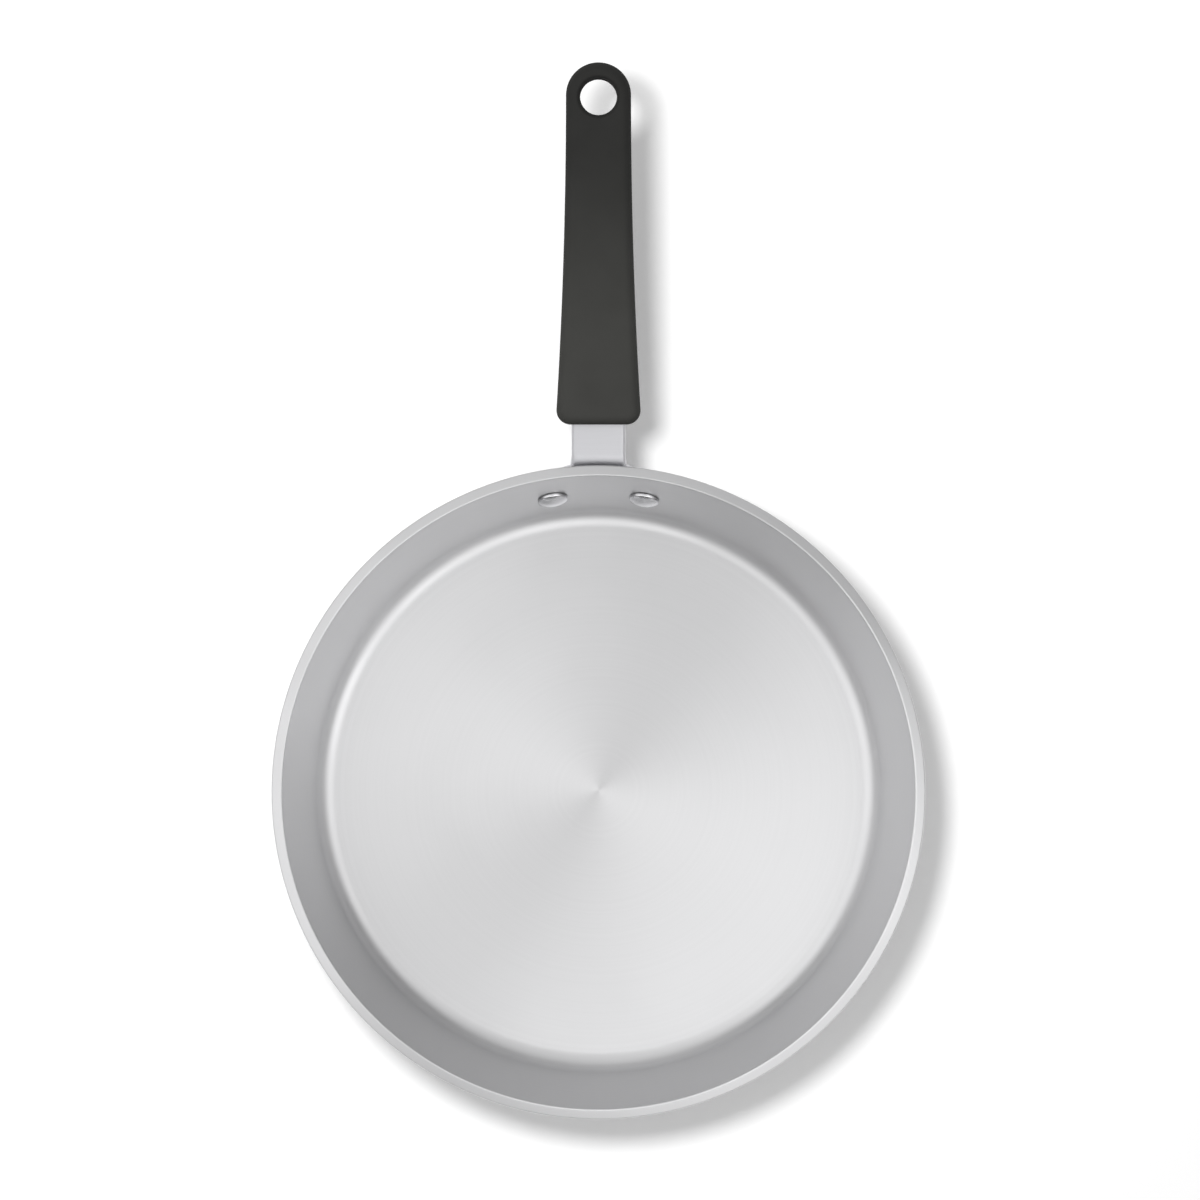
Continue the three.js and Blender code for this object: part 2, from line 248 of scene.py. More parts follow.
# %% [markdown]
# ## Long plates with a round end and a hole
#
# The strap and the sleeve are the same kind of shape: a long plate with rounded edges, a round end and
# a hang hole in it. A plain grid can't run round a hole, and cutting one with a boolean leaves ragged
# faces. So each half of the plate is laid out as rows that start on the outer edge. Up to the hole
# they end on the middle line, and beyond it they end on the hole's rim, so the rows turn round it like
# the lines of a running track. The other half is the mirror image, and heights come afterwards.

# %% Half a plate in plan
# Steps round the edge, which stop just short of the flat, then across the flat and down the hole's lip
edge_angles = np.linspace(0, 87, 10)
flat_shares = np.linspace(0, 1, 9)[1:]
lip_angles = np.linspace(0, 90, 7)[1:]
side_steps, end_steps = 8, 16
least_row = 0.5 * mm


def half_plate(plan, rows):
    """Rows of (across, along): inwards from the edge by the rounding times one minus a cosine, then
    straight to the middle line or the lip, then down the lip to the hole."""
    inset = plan.rounding * (1 - np.cos(np.radians(edge_angles)))
    reach = plan.hole + plan.lip
    rows = np.concatenate([rows[rows < plan.hole_at - reach - least_row], [plan.hole_at - reach]])
    width = plan.edge(rows)[:, None]
    side = np.concatenate([inset - width, (1 - flat_shares) * (inset[-1] - width)], axis=1)
    side = np.stack([side, rows[:, None] + 0 * side], axis=-1)

    beside = np.linspace(rows[-1], plan.end, side_steps + 1)
    round_end = np.radians(np.linspace(180, 90, end_steps + 1))[1:]
    facing = np.concatenate([np.full(beside.shape, math.pi), round_end])
    inwards = -np.column_stack([np.cos(facing), np.sin(facing)])
    side_edge = np.column_stack([-plan.edge(beside), beside])
    end_edge = [0, plan.end] - plan.edge(plan.end) * inwards[len(beside):]
    edge = np.concatenate([side_edge, end_edge])
    rounded = edge[:, None] + inset[:, None] * inwards[:, None]
    around = np.radians(np.concatenate([np.linspace(270, 180, side_steps + 1), np.degrees(round_end)]))
    outwards = np.column_stack([np.cos(around), np.sin(around)])[:, None]
    lip_start = np.array([0, plan.hole_at]) + reach * outwards
    flat = rounded[:, -1:] + flat_shares[:, None] * (lip_start - rounded[:, -1:])
    lip = lip_start - plan.lip * np.sin(np.radians(lip_angles))[:, None] * outwards
    return side, np.concatenate([rounded, flat, lip], axis=1)


print("columns in a row round the hole:", len(edge_angles) + len(flat_shares) + len(lip_angles))

# %% Edges and corners of a plate


def fall(plan, across, along):
    """How far the face has dropped: a quarter ellipse over the distance from the plate's edge, and
    another over the distance from the hole."""
    from_side = plan.width(along) - np.abs(across)
    from_corner = plan.corner - np.hypot(plan.corner - along, plan.corner - from_side)
    in_corner = (along < plan.corner) & (from_side < plan.corner)
    distance = np.where(in_corner, from_corner, np.minimum(along, from_side))
    from_end = plan.width(plan.end) - np.hypot(across, along - plan.end)
    distance = np.where(along > plan.end, from_end, distance)
    before = np.clip(plan.rounding - distance, 0, plan.rounding)
    edge_fall = plan.edge_depth * (1 - np.sqrt(1 - (before / plan.rounding) ** 2))
    within = np.clip(plan.hole + plan.lip - np.hypot(across, along - plan.hole_at), 0, plan.lip)
    return edge_fall + plan.lip_depth * (1 - np.sqrt(1 - (within / plan.lip) ** 2))


def cut_corner(plan, along):
    """The plan's half width, less what its round start corner takes: radius minus the root of its
    square less the square of the distance to the corner's end."""
    before = np.clip(plan.corner - along, 0, plan.corner)
    return plan.width(along) - plan.corner + np.sqrt(plan.corner ** 2 - before ** 2)


# %% Rows and bands that join plates


def band(upper, lower):
    """A ruled patch between two rows of points."""
    return np.stack([upper, lower])


def mirrored(patches):
    """The patches and their mirror images across the plane through the pan's axis and its handle."""
    return patches + [patch * [-1, 1, 1] for patch in patches]


def outer_rows(side, end):
    """The points on the plate's edge, from its start to the tip of its round end."""
    return np.concatenate([side[:, 0], end[:, 0]])


# %% [markdown]
# ## The handle strap
#
# The strap is 3.5 mm steel, cut flat with a wide fishtail and then pressed: the fishtail lies against
# the round leaning wall, a tight bend under the rim turns it outwards, and the rest runs straight into
# the grip. Bending a flat grid with modifiers would stretch it unevenly. Instead each point's distance
# along the strap picks its place on a middle line of three parts (straight up the wall, an arc,
# straight out), and its distance across is wrapped round the wall's circle, less and less through the
# bend.

# %% Sizes of the strap
strap_half = 11.5 * mm
strap_bend = 4 * mm
bend_below_rim = 5.6 * mm
handle_rise = math.radians(5)
neck_length = 12.7 * mm
saddle_beside_rivet = 10.3 * mm
saddle_half = rivet_spacing / 2 + saddle_beside_rivet
saddle_below, saddle_above = 10 * mm, 4 * mm
grip_length = 154.6 * mm
end_side_cover = 2.1 * mm
end_half = strap_half + gap + end_side_cover
end_from_mouth = grip_length - end_half
hole_inset = 1 * mm
hang_hole_radius = 7.85 * mm
strap_hole_radius = hang_hole_radius + 0.6 * mm

middle_radius = strap_bend + strap_thickness / 2
flare_start = saddle_below + saddle_above
bend_start = saddle_below + rivet_below_rim - bend_below_rim
straight_start = bend_start + middle_radius * (math.pi / 2 - wall_lean - handle_rise)
wall_point = rivet_inside + (sheet + gap + strap_thickness / 2) * out_of_wall
bend_centre = wall_point + (rivet_below_rim - bend_below_rim) * up_wall + middle_radius * out_of_wall
neck_start = bend_centre + middle_radius * np.array([-math.sin(handle_rise), math.cos(handle_rise)])
print(f"the strap runs straight from {straight_start / mm:.1f} mm on")


def ease(value, start, end):
    """Three times the square of the share minus two times its cube, from 0 at start to 1 at end."""
    share = np.clip((value - start) / (end - start), 0, 1)
    return share * share * (3 - 2 * share)


strap_plan = SimpleNamespace(corner=9 * mm, hole=strap_hole_radius)
strap_plan.rounding = strap_plan.edge_depth = 1.5 * mm
strap_plan.lip = strap_plan.lip_depth = 0.3 * mm
strap_plan.end = straight_start + neck_length + end_from_mouth
strap_plan.hole_at = strap_plan.end - hole_inset
# The saddle's half width, which eases to the strap's between the start of the flare and the bend
strap_plan.width = lambda along: (
    saddle_half + (strap_half - saddle_half) * ease(along, flare_start, bend_start))
strap_plan.edge = lambda along: cut_corner(strap_plan, along)

# %% Press the strap


def pressed(across, along, through):
    """The point on the middle line at this length, moved off it by through along its normal, and by
    across round the wall's circle or, on the straight run, level."""
    turn = wall_lean + np.clip(along - bend_start, 0, straight_start - bend_start) / middle_radius
    normal = np.stack([np.cos(turn), -np.sin(turn)], axis=-1)
    up_to_bend = np.minimum(along, bend_start) - saddle_below
    run = np.array([math.cos(handle_rise), math.sin(handle_rise)])
    middle = wall_point + up_to_bend[..., None] * up_wall
    middle = np.where((along > bend_start)[..., None], bend_centre - middle_radius * normal, middle)
    middle = middle + np.maximum(along - straight_start, 0)[..., None] * run
    roundness = 1 - ease(along, bend_start, straight_start)
    radius = middle[..., 0] - normal[..., 0] * through
    height = middle[..., 1] - normal[..., 1] * through
    angle = across / wall_point[0]
    sideways = across + roundness * (radius * np.sin(angle) - across)
    return np.stack([sideways, radius - roundness * radius * (1 - np.cos(angle)), height], axis=-1)


def strap_face(part, face):
    """One face of the strap, half its thickness less the fall of its edges away from the middle."""
    across, along = part[..., 0], part[..., 1]
    return pressed(across, along, face * (strap_thickness / 2 - fall(strap_plan, across, along)))


strap_rows = np.concatenate([
    strap_plan.corner * (1 - np.cos(np.radians(np.linspace(0, 90, 13)[:-1]))),
    np.linspace(strap_plan.corner, flare_start, 5)[:-1],
    np.linspace(flare_start, bend_start, 21)[:-1],
    np.linspace(bend_start, straight_start, 17)[:-1],
    np.linspace(straight_start, strap_plan.end, 40),
])
strap_side, strap_end = half_plate(strap_plan, strap_rows)
top_side, top_end = strap_face(strap_side, 1), strap_face(strap_end, 1)
under_side, under_end = strap_face(strap_side, -1), strap_face(strap_end, -1)
strap_patches = [
    top_side, top_end, under_side, under_end,
    band(outer_rows(top_side, top_end), outer_rows(under_side, under_end)),
    band(top_side[0], under_side[0]),
    band(top_end[:, -1], under_end[:, -1]),
]
strap_skin = sew("pressed_strap", mirrored(strap_patches), "pan", "handle_strap")

# %% [markdown]
# ## The grip sleeve
#
# The grip is a moulded silicone sleeve. It is widest and thickest at its mouth, draws in towards a
# round end, and arches a little over the straight strap. Inside is a pocket of the strap's own shape,
# open at the mouth and crossed by the hang hole, which shows when the sleeve is pulled off. So four
# plates make it: top, underside, and the pocket's ceiling and floor, joined by bands round the outside,
# round the pocket, down the hole and across the mouth. The top stays plain.

# %% Sizes of the sleeve
mouth_side_cover = 6.6 * mm
mouth_half = strap_half + gap + mouth_side_cover
mouth_corner = 6.5 * mm
mouth_cover, end_cover = 6.4 * mm, 4.2 * mm
edge_width, edge_depth = 4.2 * mm, 5.8 * mm
lip_width, lip_depth = 1.9 * mm, 3.8 * mm
pocket_edge = 0.4 * mm
grip_arch = 3 * mm
pocket_half = strap_half + gap
pocket_half_height = strap_thickness / 2 + gap
hole_from_mouth = end_from_mouth - hole_inset
arch_slope = 4 * grip_arch / grip_length * (1 - 2 * hole_from_mouth / grip_length)
print(f"the sleeve is {2 * mouth_half / mm:.1f} mm wide at its mouth")
print(f"and {2 * end_half / mm:.1f} mm at its end")

# %% Widths and heights of the sleeve


def arch(along):
    """Four times the arch's rise times the share of the length times what is left of it."""
    share = np.clip(along / grip_length, 0, 1)
    return 4 * grip_arch * share * (1 - share)


def grip_half_thickness(along):
    """Half the pocket's height, plus a cover that thins evenly from the mouth to the end."""
    return pocket_half_height + mouth_cover + (end_cover - mouth_cover) * along / grip_length


def grip_width(along):
    """The end's half width plus what the mouth has more, times the square of the share still to go."""
    to_go = 1 - np.clip(along / end_from_mouth, 0, 1)
    return end_half + (mouth_half - end_half) * to_go ** 2


# %% Plans of the sleeve and its pocket


def grip_plan_at(height):
    """The sleeve's plan on a face at this height, where the hole leans with the arch."""
    plan = SimpleNamespace(corner=mouth_corner, hole=hang_hole_radius)
    plan.rounding, plan.edge_depth = edge_width, edge_depth
    plan.lip, plan.lip_depth = lip_width, lip_depth
    plan.end, plan.width = end_from_mouth, grip_width
    plan.hole_at = hole_from_mouth - arch_slope * (height - arch(hole_from_mouth))
    plan.edge = lambda along: cut_corner(plan, along)
    return plan


def pocket_plan_at(height):
    """The pocket's plan: straight sides, a round end, and the hole without a lip."""
    plan = SimpleNamespace(rounding=pocket_edge, lip=0, hole=hang_hole_radius, end=end_from_mouth)
    plan.hole_at = hole_from_mouth - arch_slope * (height - arch(hole_from_mouth))
    plan.edge = lambda along: pocket_half + 0 * np.asarray(along)
    return plan


# %% Mould the sleeve
handle_frame = neck_start + neck_length * np.array([math.cos(handle_rise), math.sin(handle_rise)])


def in_handle_frame(points):
    """Turned up by the handle's rise about X, then moved to the strap's middle in the sleeve's mouth."""
    x, y, z = np.moveaxis(points, -1, 0)
    rise_cos, rise_sin = math.cos(handle_rise), math.sin(handle_rise)
    out = handle_frame[0] + y * rise_cos - z * rise_sin
    return np.stack([x, out, handle_frame[1] + y * rise_sin + z * rise_cos], axis=-1)


def grip_plate(plan, rows, height):
    """Both parts of a plate with their heights, as points in the handle's own frame."""
    side, end = half_plate(plan, rows)
    heights = [height(part[..., 0], part[..., 1]) for part in (side, end)]
    return [np.concatenate([part, level[..., None]], axis=-1) for part, level in zip((side, end), heights)]


def skin_plate(face):
    """Top (1) or underside (-1): the arch plus or minus the half thickness less the fall."""
    plan = grip_plan_at(arch(hole_from_mouth) + face * grip_half_thickness(hole_from_mouth))
    return grip_plate(plan, grip_rows, lambda across, along: arch(along) + face * (
        grip_half_thickness(along) - fall(plan, across, along)))


def pocket_plate(face):
    """Ceiling (1) or floor (-1) of the pocket, level in the handle's frame."""
    level = face * pocket_half_height
    return grip_plate(pocket_plan_at(level), grip_rows, lambda across, along: level + 0 * across)


last_row = hole_from_mouth - 11 * mm
grip_rows = np.concatenate([
    mouth_corner * (1 - np.cos(np.radians(np.linspace(0, 90, 15)[:-1]))),
    np.linspace(mouth_corner, last_row, 44),
])
(top_side, top_end), (under_side, under_end) = skin_plate(1), skin_plate(-1)
(ceiling_side, ceiling_end), (floor_side, floor_end) = pocket_plate(1), pocket_plate(-1)
print("rows to the hole:", len(top_side), len(ceiling_side), "| columns:", top_end.shape[1])

# %% Join the sleeve's plates
sleeve_patches = [
    top_side, top_end, under_side, under_end, ceiling_side, ceiling_end, floor_side, floor_end,
    band(outer_rows(top_side, top_end), outer_rows(under_side, under_end)),
    band(outer_rows(ceiling_side, ceiling_end), outer_rows(floor_side, floor_end)),
    band(top_end[:, -1], ceiling_end[:, -1]),
    band(under_end[:, -1], floor_end[:, -1]),
    band(top_side[0], ceiling_side[0]),
    band(under_side[0], floor_side[0]),
    band(np.stack([top_side[0, 0], under_side[0, 0]]), np.stack([ceiling_side[0, 0], floor_side[0, 0]])),
]
sleeve_patches = [in_handle_frame(patch) for patch in mirrored(sleeve_patches)]
sleeve_skin = sew("moulded_sleeve", sleeve_patches, "grip", "grip_sleeve")

# %% [markdown]
# ## Adding nodes
#
# A finish is a small tree of nodes. One function adds any node: its own settings are keyword
# arguments, and each input gets either a value or another node's output. Colours are written as the
# hex values that a screen shows, so they are turned to linear light first.

# %% One function for nodes, one for colours


def add(tree, kind, inputs=None, **settings):
    """Add a node, set its own settings, and give each input a value or a link."""
    made = tree.nodes.new(kind)
    for setting, value in settings.items():
        setattr(made, setting, value)
    for socket, value in (inputs or {}).items():
        if isinstance(value, bpy.types.NodeSocket):
            tree.links.new(value, made.inputs[socket])
        else:
            made.inputs[socket].default_value = value
    return made


def linear(hex_colour):
    """sRGB to linear: up to 0.04045 divided by 12.92, and above it a power of 2.4."""
    shown = np.array([int(hex_colour[at:at + 2], 16) for at in (1, 3, 5)]) / 255
    light = np.where(shown <= 0.04045, shown / 12.92, ((shown + 0.055) / 1.055) ** 2.4)
    return (*light.tolist(), 1.0)


def finish_for(name, *pieces):
    """A new material with an empty tree, put on the pieces."""
    material = bpy.data.materials.new(name)
    material.use_nodes = True
    material.node_tree.nodes.clear()
    for piece in pieces:
        piece.data.materials.append(material)
    return material.node_tree


print(f"#808080 is {linear('#808080')[0]:.3f} in linear light")

# %% [markdown]
# ## Bare aluminium, turned in fine rings
#
# A lathe tool leaves rings about a tenth of a millimetre apart. They are too fine to see one by one,
# but they spread the light across the rings far more than along them, and that makes the two bright
# and two dark wedges on the base. Cutting the rings into the mesh would take millions of faces.
# Anisotropy does the same, with its direction pointing away from the axis. A noise that depends only on
# the distance along the profile draws a few stronger rings.

# %% Turned aluminium
tree = finish_for("aluminium_turned", pan_skin)
place = add(tree, "ShaderNodeTexCoord")
flat_place = add(tree, "ShaderNodeVectorMath", {
    0: place.outputs["Object"], 1: (1, 1, 0)}, operation="MULTIPLY")
from_axis = add(tree, "ShaderNodeVectorMath", {0: flat_place.outputs[0]}, operation="LENGTH")
place_xyz = add(tree, "ShaderNodeSeparateXYZ", {0: place.outputs["Object"]})
along_profile = add(tree, "ShaderNodeMath", {
    0: from_axis.outputs["Value"], 1: place_xyz.outputs["Z"]}, operation="ADD")

# Rings 0.1 mm apart would vanish at half a millimetre to a pixel, so they are drawn 1.6 mm apart
ring_spacing = 1.6 * mm
haze_size = 45 * mm
ring_number = add(tree, "ShaderNodeMath", {
    0: along_profile.outputs[0], 1: ring_spacing}, operation="DIVIDE")
rings = add(tree, "ShaderNodeTexNoise", {
    "W": ring_number.outputs[0], "Scale": 1.0, "Detail": 3.0, "Roughness": 0.6}, noise_dimensions="1D")
haze = add(tree, "ShaderNodeTexNoise", {
    "Vector": place.outputs["Object"], "Scale": 1 / haze_size, "Detail": 2.0}, noise_dimensions="3D")
ring_colour = add(tree, "ShaderNodeMix", {
    0: rings.outputs["Fac"], 6: linear("#dfdfe0"), 7: linear("#e3e3e4")}, data_type="RGBA")
ring_roughness = add(tree, "ShaderNodeMapRange", {
    "Value": haze.outputs["Fac"], "From Min": 0.3, "From Max": 0.7, "To Min": 0.33, "To Max": 0.39})
ring_relief = add(tree, "ShaderNodeBump", {
    "Height": rings.outputs["Fac"], "Strength": 0.12, "Distance": 0.02 * mm})
skin = add(tree, "ShaderNodeBsdfPrincipled", {
    "Base Color": ring_colour.outputs[2], "Metallic": 1.0, "Roughness": ring_roughness.outputs[0],
    "Anisotropic": 0.75, "Tangent": flat_place.outputs[0], "Normal": ring_relief.outputs[0]})
add(tree, "ShaderNodeOutputMaterial", {"Surface": skin.outputs[0]})
print("turned aluminium:", len(tree.nodes), "nodes")

# %% [markdown]
# ## Satin steel
#
# The strap is stainless steel, rubbed with abrasive across its width. That leaves short fine scratches
# from side to side, which show as faint level marks on the bare neck. Drawing them one by one would take
# many small curves. A noise that is stretched across the strap gives the same look.

# %% Satin steel
tree = finish_for("stainless_steel_satin", strap_skin)
place = add(tree, "ShaderNodeTexCoord")
# Scratches 0.1 mm wide are drawn 0.5 mm wide to show, and 14 mm long
scratch_length, scratch_width = 14 * mm, 0.5 * mm
scratch_place = add(tree, "ShaderNodeVectorMath", {
    0: place.outputs["Object"],
    1: (1 / scratch_length, 1 / scratch_width, 1 / scratch_width)}, operation="MULTIPLY")
scratches = add(tree, "ShaderNodeTexNoise", {
    "Vector": scratch_place.outputs[0], "Scale": 1.0, "Detail": 3.0}, noise_dimensions="3D")
steel_colour = add(tree, "ShaderNodeMix", {
    0: scratches.outputs["Fac"], 6: linear("#cfcfd2"), 7: linear("#dcdcdf")}, data_type="RGBA")
steel_roughness = add(tree, "ShaderNodeMapRange", {
    "Value": scratches.outputs["Fac"], "From Min": 0.3, "From Max": 0.7, "To Min": 0.46, "To Max": 0.56})
steel_relief = add(tree, "ShaderNodeBump", {
    "Height": scratches.outputs["Fac"], "Strength": 0.2, "Distance": 0.02 * mm})
skin = add(tree, "ShaderNodeBsdfPrincipled", {
    "Base Color": steel_colour.outputs[2], "Metallic": 1.0, "Roughness": steel_roughness.outputs[0],
    "Normal": steel_relief.outputs[0]})
add(tree, "ShaderNodeOutputMaterial", {"Surface": skin.outputs[0]})
print("satin steel:", len(tree.nodes), "nodes")

# %% [markdown]
# ## Rivet aluminium
#
# The heads are shaped by a hard polished die, so they are smoother than the wall, with faint pressing
# marks. A finish like the wall's would do from afar. A smoother one shows the room as a bright band
# across each dome, which is what sets the heads off from the wall. A fine noise varies its colour and
# its smoothness.

# %% Pressed rivet heads
tree = finish_for("aluminium_pressed", left_rivet, right_rivet)
place = add(tree, "ShaderNodeTexCoord")
mark_size = 1.5 * mm
marks = add(tree, "ShaderNodeTexNoise", {
    "Vector": place.outputs["Object"], "Scale": 1 / mark_size, "Detail": 3.0}, noise_dimensions="3D")
rivet_colour = add(tree, "ShaderNodeMix", {
    0: marks.outputs["Fac"], 6: linear("#e2e2e4"), 7: linear("#eaeaec")}, data_type="RGBA")
rivet_roughness = add(tree, "ShaderNodeMapRange", {
    "Value": marks.outputs["Fac"], "From Min": 0.3, "From Max": 0.7, "To Min": 0.18, "To Max": 0.28})
skin = add(tree, "ShaderNodeBsdfPrincipled", {
    "Base Color": rivet_colour.outputs[2], "Metallic": 1.0, "Roughness": rivet_roughness.outputs[0]})
add(tree, "ShaderNodeOutputMaterial", {"Surface": skin.outputs[0]})
print("pressed aluminium:", len(tree.nodes), "nodes")

# %% [markdown]
# ## Moulded silicone
#
# The sleeve came out of a mould with an eroded, finely grained face, so it is matte and slightly
# uneven, and its black is a dark warm grey in good light. A fine bump carries the grain, and a broad
# noise makes the soft variation that handling leaves. Shade along the handle is painted in: the sleeve
# is painted darker at its far end and lighter next to the pan, two blacks mixed by the distance from the
# pan.

# %% Moulded silicone
tree = finish_for("silicone_moulded", sleeve_skin)
place = add(tree, "ShaderNodeTexCoord")
# Mould grain of 0.1 mm is drawn 0.45 mm wide to show
grain_size, handling_size = 0.45 * mm, 18 * mm
grain = add(tree, "ShaderNodeTexNoise", {
    "Vector": place.outputs["Object"], "Scale": 1 / grain_size, "Detail": 2.0}, noise_dimensions="3D")
handling = add(tree, "ShaderNodeTexNoise", {
    "Vector": place.outputs["Object"], "Scale": 1 / handling_size, "Detail": 3.0}, noise_dimensions="3D")
place_xyz = add(tree, "ShaderNodeSeparateXYZ", {0: place.outputs["Object"]})
# Painted shade: the black is painted darker towards the far end and lighter towards the pan
painted_dark_at, painted_light_at = 285 * mm, 185 * mm
painted_light_share = add(tree, "ShaderNodeMapRange", {
    "Value": place_xyz.outputs["Y"], "From Min": painted_dark_at, "From Max": painted_light_at,
    "To Min": 0.0, "To Max": 1.0}, interpolation_type="SMOOTHSTEP")
# The dark and the light black of the painted shade, each with the random handling tone
painted_shade_black = add(tree, "ShaderNodeMix", {
    0: handling.outputs["Fac"], 6: linear("#2a2a29"), 7: linear("#313130")}, data_type="RGBA")
painted_light_black = add(tree, "ShaderNodeMix", {
    0: handling.outputs["Fac"], 6: linear("#3c3c3a"), 7: linear("#434341")}, data_type="RGBA")
black = add(tree, "ShaderNodeMix", {
    0: painted_light_share.outputs[0], 6: painted_shade_black.outputs[2], 7: painted_light_black.outputs[2]}, data_type="RGBA")
grain_roughness = add(tree, "ShaderNodeMapRange", {
    "Value": grain.outputs["Fac"], "From Min": 0.3, "From Max": 0.7, "To Min": 0.72, "To Max": 0.84})
grain_relief = add(tree, "ShaderNodeBump", {
    "Height": grain.outputs["Fac"], "Strength": 0.3, "Distance": 0.05 * mm})
skin = add(tree, "ShaderNodeBsdfPrincipled", {
    "Base Color": black.outputs[2], "Roughness": grain_roughness.outputs[0], "IOR": 1.41,
    "Specular IOR Level": 0.08, "Normal": grain_relief.outputs[0]})
add(tree, "ShaderNodeOutputMaterial", {"Surface": skin.outputs[0]})
print("moulded silicone:", len(tree.nodes), "nodes")

# %% [markdown]
# ## A white floor
#
# The photograph is a studio picture on white. More lamps would make the floor white, but they would
# burn out the metal too. So the paper adds a little light of its own, only for rays that show the floor
# directly: those from the camera, and those off metal or through glass. It still takes the shadow. From
# 0.6 m outwards, where the lamp reaches less and less, the paper adds more, so it stays pale all over.

# %% Rays that show the floor directly


def shown_directly(tree):
    """1 for rays from the camera, off metal and through glass, and 0 for light that matte things get."""
    path = add(tree, "ShaderNodeLightPath")
    shown = add(tree, "ShaderNodeMath", {
        0: path.outputs["Is Camera Ray"], 1: path.outputs["Is Glossy Ray"]},
        operation="ADD", use_clamp=True)
    shown = add(tree, "ShaderNodeMath", {
        0: shown.outputs[0], 1: path.outputs["Is Transmission Ray"]},
        operation="ADD", use_clamp=True)
    return shown.outputs[0]


# %% Floor
half_floor = 8.0
floor_level = -0.05 * mm
lift_near, lift_far = 0.12, 0.6
lift_grows_from, lift_grows_to = 0.6, 1.9
floor_corners = half_floor * np.array([(-1, -1, 0), (1, -1, 0), (1, 1, 0), (-1, 1, 0)])
floor_corners[:, 2] = floor_level
floor_mesh = bpy.data.meshes.new("studio_floor")
floor_mesh.from_pydata(floor_corners.tolist(), [], [(0, 1, 2, 3)])
floor = bpy.data.objects.new("studio_floor", floor_mesh)
bpy.context.scene.collection.objects.link(floor)
floor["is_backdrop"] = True
tree = finish_for("floor_paper_white", floor)
place = add(tree, "ShaderNodeTexCoord")
from_pan = add(tree, "ShaderNodeVectorMath", {0: place.outputs["Object"]}, operation="LENGTH")
lift_there = add(tree, "ShaderNodeMapRange", {
    "Value": from_pan.outputs["Value"], "From Min": lift_grows_from, "From Max": lift_grows_to,
    "To Min": lift_near, "To Max": lift_far})
lift = add(tree, "ShaderNodeMath", {
    0: shown_directly(tree), 1: lift_there.outputs[0]}, operation="MULTIPLY")
paper = add(tree, "ShaderNodeBsdfDiffuse", {"Color": linear("#f8f8f8")})
glow = add(tree, "ShaderNodeEmission", {"Strength": lift.outputs[0]})
both = add(tree, "ShaderNodeAddShader", {0: paper.outputs[0], 1: glow.outputs[0]})
add(tree, "ShaderNodeOutputMaterial", {"Surface": both.outputs[0]})
print("floor:", 2 * half_floor, "m across")

# %% [markdown]
# ## The room
#
# Bare metal shows the room more than its own colour, so the room decides how the base looks. It could
# be built from real walls and lamps. A dome is simpler: a faint even light, and soft panels round the
# pan, strongest on the left and the lower right, where the base has its bright wedges. Matte things get
# a plain dome instead, bright overhead, and the camera itself sees white.

# %% A dome and its directions
world = bpy.data.worlds.new("studio_dome")
bpy.context.scene.world = world
world.use_nodes = True
tree = world.node_tree
tree.nodes.clear()
direction = add(tree, "ShaderNodeTexCoord")
upward = add(tree, "ShaderNodeSeparateXYZ", {0: direction.outputs["Generated"]})


def from_horizon_up(horizon, zenith):
    """A strength that eases from the horizon's to the zenith's."""
    return add(tree, "ShaderNodeMapRange", {
        "Value": upward.outputs["Z"], "From Min": 0.0, "From Max": 1.0,
        "To Min": horizon, "To Max": zenith}, interpolation_type="SMOOTHSTEP")


def towards(clockwise, elevation):
    """The direction at an angle clockwise from the picture's right, at an elevation."""
    level, rise = math.radians(clockwise), math.radians(elevation)
    return (math.cos(level) * math.cos(rise), -math.sin(level) * math.cos(rise), math.sin(rise))


# %% Studio dome
even_light = 0.118
dome_at_horizon, dome_overhead = 0.02, 0.8
# Panels: angle clockwise from the picture's right, elevation, spread, strength
panels = [
    (0, 50, 45, 0.28), (0, 68, 25, 0.56), (45, 50, 45, 0.84), (90, 50, 45, 0.26),
    (135, 50, 45, 0.36), (180, 50, 45, 1.12), (225, 50, 45, 0.2), (270, 50, 45, 0.74),
]
room = from_horizon_up(even_light, even_light)
for clockwise, elevation, spread, strength in panels:
    facing = add(tree, "ShaderNodeVectorMath", {
        0: direction.outputs["Generated"], 1: towards(clockwise, elevation)}, operation="DOT_PRODUCT")
    panel = add(tree, "ShaderNodeMapRange", {
        "Value": facing.outputs["Value"], "From Min": math.cos(math.radians(spread)), "From Max": 1.0,
        "To Min": 0.0, "To Max": strength}, interpolation_type="SMOOTHSTEP")
    room = add(tree, "ShaderNodeMath", {0: room.outputs[0], 1: panel.outputs[0]}, operation="ADD")
soft = from_horizon_up(dome_at_horizon, dome_overhead)
path = add(tree, "ShaderNodeLightPath")
strength = add(tree, "ShaderNodeMix", {0: shown_directly(tree), 2: soft.outputs[0], 3: room.outputs[0]})
strength = add(tree, "ShaderNodeMix", {0: path.outputs["Is Camera Ray"], 2: strength.outputs[0], 3: 1.0})
dome = add(tree, "ShaderNodeBackground", {"Strength": strength.outputs[0]})
add(tree, "ShaderNodeOutputWorld", {"Surface": dome.outputs[0]})
print("dome:", len(panels), "panels")

# %% [markdown]
# ## Lamps
#
# A broad round lamp at the upper left, 1.7 m above the floor, throws the soft shadow to the lower right.
# A sun would be simpler, but it throws every shadow the same way, and further the higher the piece. A
# near lamp spreads its shadow, which reaches further round the pan and stays close to the raised handle,
# as in the photograph. It lights only matte things, because on turned metal it would draw a hard bright
# streak. Two square panels hang close to the pan, at the lower edge and at the right. Being close, they
# stand in a different direction from each side of the base, so the base doesn't look the same on both
# sides of its centre.

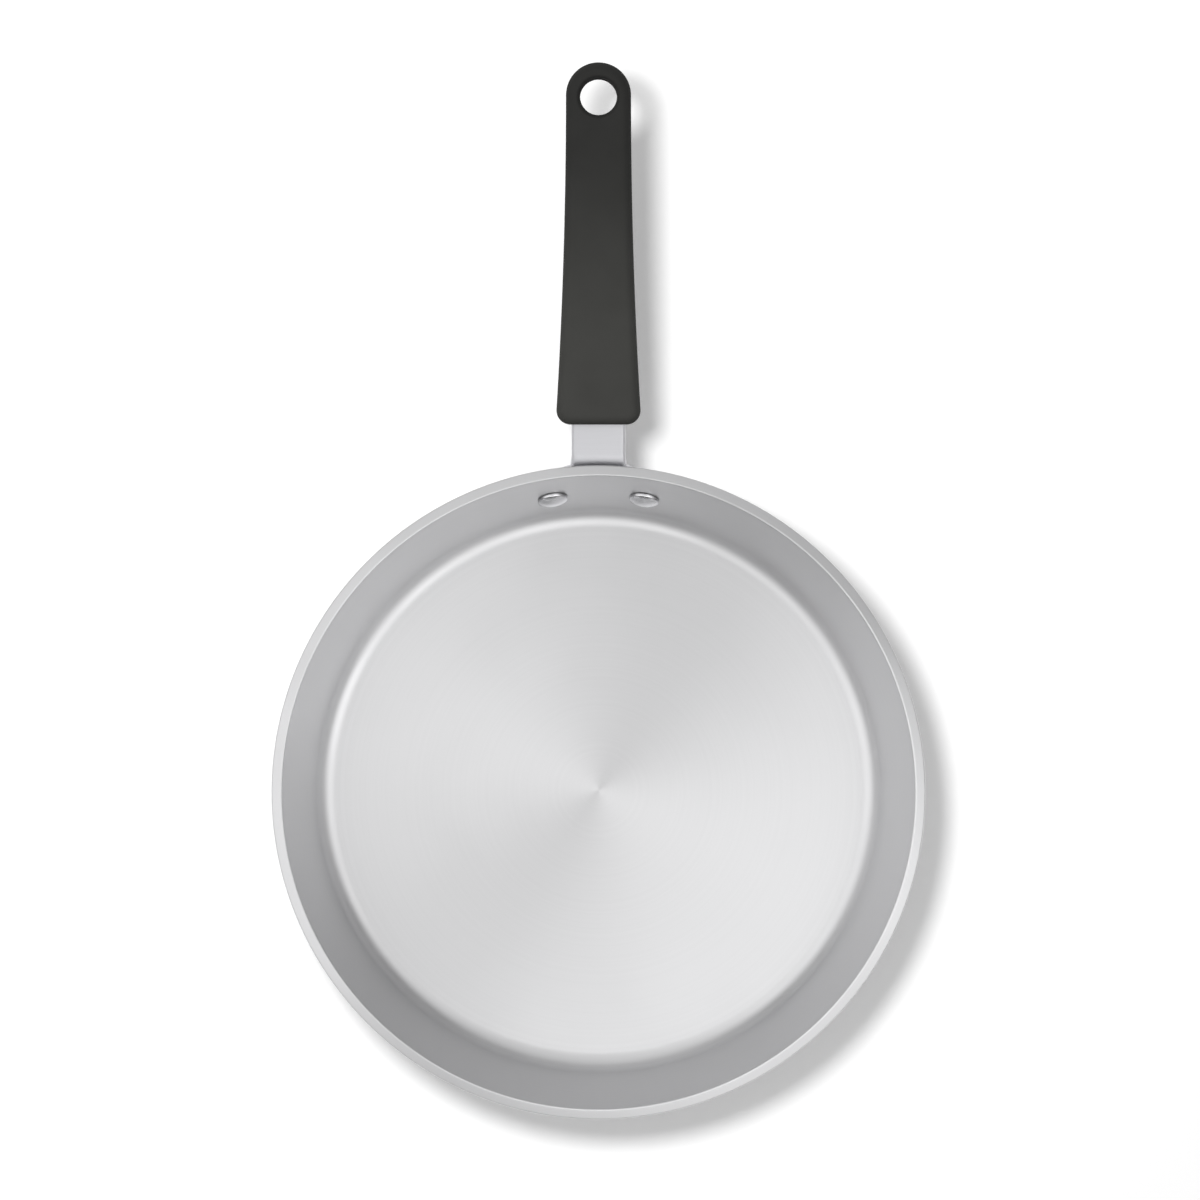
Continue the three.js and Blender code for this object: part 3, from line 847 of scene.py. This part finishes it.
# %% Key lamp
key_data = bpy.data.lights.new("key_softbox", "AREA")
key_data.shape = "DISK"
key_data.size = 0.42
key_data.energy = 20.8
key = bpy.data.objects.new("key_softbox", key_data)
bpy.context.scene.collection.objects.link(key)
key_height, key_tilt, key_clockwise = 1.7, math.radians(17), 228
key_foot = key_height * math.tan(key_tilt) * np.array(towards(key_clockwise, 0))
key.location = (key_foot[0], key_foot[1], key_height)
key.visible_glossy = False
key.visible_camera = False
print("key lamp:", key_data.energy, "W, its foot at", key_foot.round(2)[:2])

# %% Near panels
# Place (x, y, z), side length and radiance
near_panels = [(0.05, -0.34, 0.7, 0.4, 0.75), (0.5, -0.05, 0.7, 0.6, 0.45)]
for number, (x, y, z, size, radiance) in enumerate(near_panels):
    near_data = bpy.data.lights.new(f"near_panel_{number}", "AREA")
    near_data.size = size
    near_data.energy = radiance * math.pi * size ** 2
    near = bpy.data.objects.new(f"near_panel_{number}", near_data)
    near.location = (x, y, z)
    near.visible_camera = False
    near.visible_diffuse = False
    bpy.context.scene.collection.objects.link(near)
print("near panels:", len(near_panels))

# %% [markdown]
# ## The camera
#
# The rim and the base show as circles with nearly the same centre, so the camera looks straight down.
# A view without any perspective would do, but a real picture has a little. From 3.4 m above the rim, the
# rim shows about 1.2 % larger against the base than it is, and the lens is then whatever fills the frame.

# %% Camera
frame_width = 513.4 * mm
frame_centre = (0.64 * mm, 82.3 * mm)
camera_distance = 3.4
camera_data = bpy.data.cameras.new("camera")
camera_data.sensor_width = 36
camera_data.lens = camera_data.sensor_width * camera_distance / frame_width
camera = bpy.data.objects.new("camera", camera_data)
camera.location = (*frame_centre, pan_height + camera_distance)
bpy.context.scene.collection.objects.link(camera)
bpy.context.scene.camera = camera
bpy.context.scene.view_settings.view_transform = "Standard"
print(f"lens {camera_data.lens:.0f} mm")

# %% [markdown]
# ## The same size as before
#
# A finish may not change the object's size. The skins could be measured one by one, as each was when it
# was sewn. The box round the whole model, before and after, is the test that leaves nothing out.

# %% Compare the sizes and finish
bounds_at_end = [list(corner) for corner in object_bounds()]
grown = np.abs(np.subtract(bounds_at_end, bounds_at_start)).max() / mm
print(f"the visual model's box is within {grown:.3f} mm of the CAD box")
